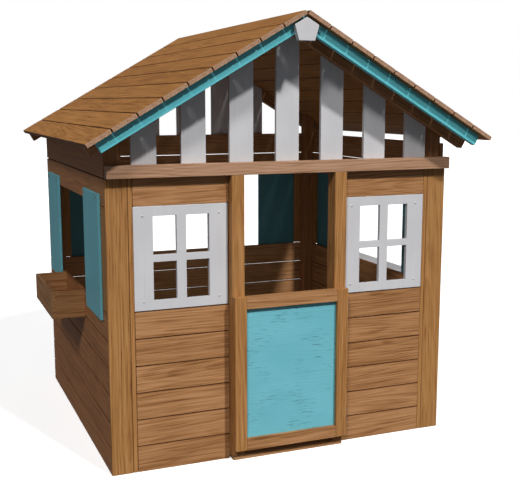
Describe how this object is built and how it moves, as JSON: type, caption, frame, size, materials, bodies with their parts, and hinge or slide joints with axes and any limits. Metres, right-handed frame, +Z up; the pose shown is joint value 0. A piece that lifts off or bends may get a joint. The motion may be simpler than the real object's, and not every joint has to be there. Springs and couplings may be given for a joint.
{
  "type": "wooden playhouse",
  "caption": "Child's wooden playhouse with a plank gable roof, slatted gables, four-pane front windows, shuttered side openings, a flower box, a serving shelf and a hinged half door.",
  "frame": {"origin": "bottom centre of the house's bounding box, on the ground", "axes": "+Z up, -Y out of the front wall with the half door, +X to the right as seen from the front"},
  "size_m": [1.269, 1.196, 1.3122],
  "materials": {
    "wall_wood": "oiled pine boards",
    "roof_wood": "oiled pine planks",
    "white_paint": "white paint, satin",
    "turquoise_paint": "turquoise paint, satin",
    "hardware": "zinc-plated"
  },
  "bodies": {
    "house": {"back_end_boards": "wall_wood", "back_siding": "wall_wood", "back_top_boards": "wall_wood", "corner_board_left": "wall_wood", "corner_board_right": "wall_wood", "corner_post_front_left": "wall_wood", "corner_post_front_right": "wall_wood", "corner_post_rear_left": "wall_wood", "corner_post_rear_right": "wall_wood", "corner_strips": "wall_wood", "door_jamb_left": "wall_wood", "door_jamb_right": "wall_wood", "fascia_left": "turquoise_paint", "fascia_right": "turquoise_paint", "flower_box_ends": "wall_wood", "flower_box_floor": "wall_wood", "flower_box_front": "wall_wood", "front_battens": "wall_wood", "front_gable_slats": "white_paint", "front_header": "wall_wood", "front_rafter_left": "wall_wood", "front_rafter_right": "wall_wood", "front_siding_left": "wall_wood", "front_siding_right": "wall_wood", "front_top_boards": "wall_wood", "gable_ornament": "white_paint", "hinge_jamb_leaves": "hardware", "hinge_jamb_screws": "hardware", "hinge_pins": "hardware", "left_end_boards": "wall_wood", "left_siding": "wall_wood", "left_top_boards": "wall_wood", "rear_gable_slats": "white_paint", "rear_rafter_left": "wall_wood", "rear_rafter_right": "wall_wood", "right_end_boards": "wall_wood", "right_siding": "wall_wood", "right_top_boards": "wall_wood", "roof_planks_left": "roof_wood", "roof_planks_right": "roof_wood", "serving_shelf": "white_paint", "shelf_brackets": "wall_wood", "shutter_back_left": "turquoise_paint", "shutter_back_right": "turquoise_paint", "shutter_left_front": "turquoise_paint", "shutter_left_rear": "turquoise_paint", "shutter_right_front": "turquoise_paint", "shutter_right_rear": "turquoise_paint", "shutter_screws": "hardware", "threshold": "wall_wood", "window_panel_left": "white_paint", "window_panel_right": "white_paint", "window_screws": "hardware"},
    "half_door": {"door_stile_left": "wall_wood", "door_stile_right": "wall_wood", "door_rail_top": "wall_wood", "door_rail_bottom": "wall_wood", "door_panel": "turquoise_paint", "hinge_door_leaves": "hardware", "hinge_door_screws": "hardware"}
  },
  "joints": [
    {"name": "half_door_hinge", "type": "hinge", "parent": "house", "child": "half_door", "pos_m": [0.202, -0.4885, 0.27], "axis": [0, 0, 1], "range_deg": [0, 170]}
  ]
}
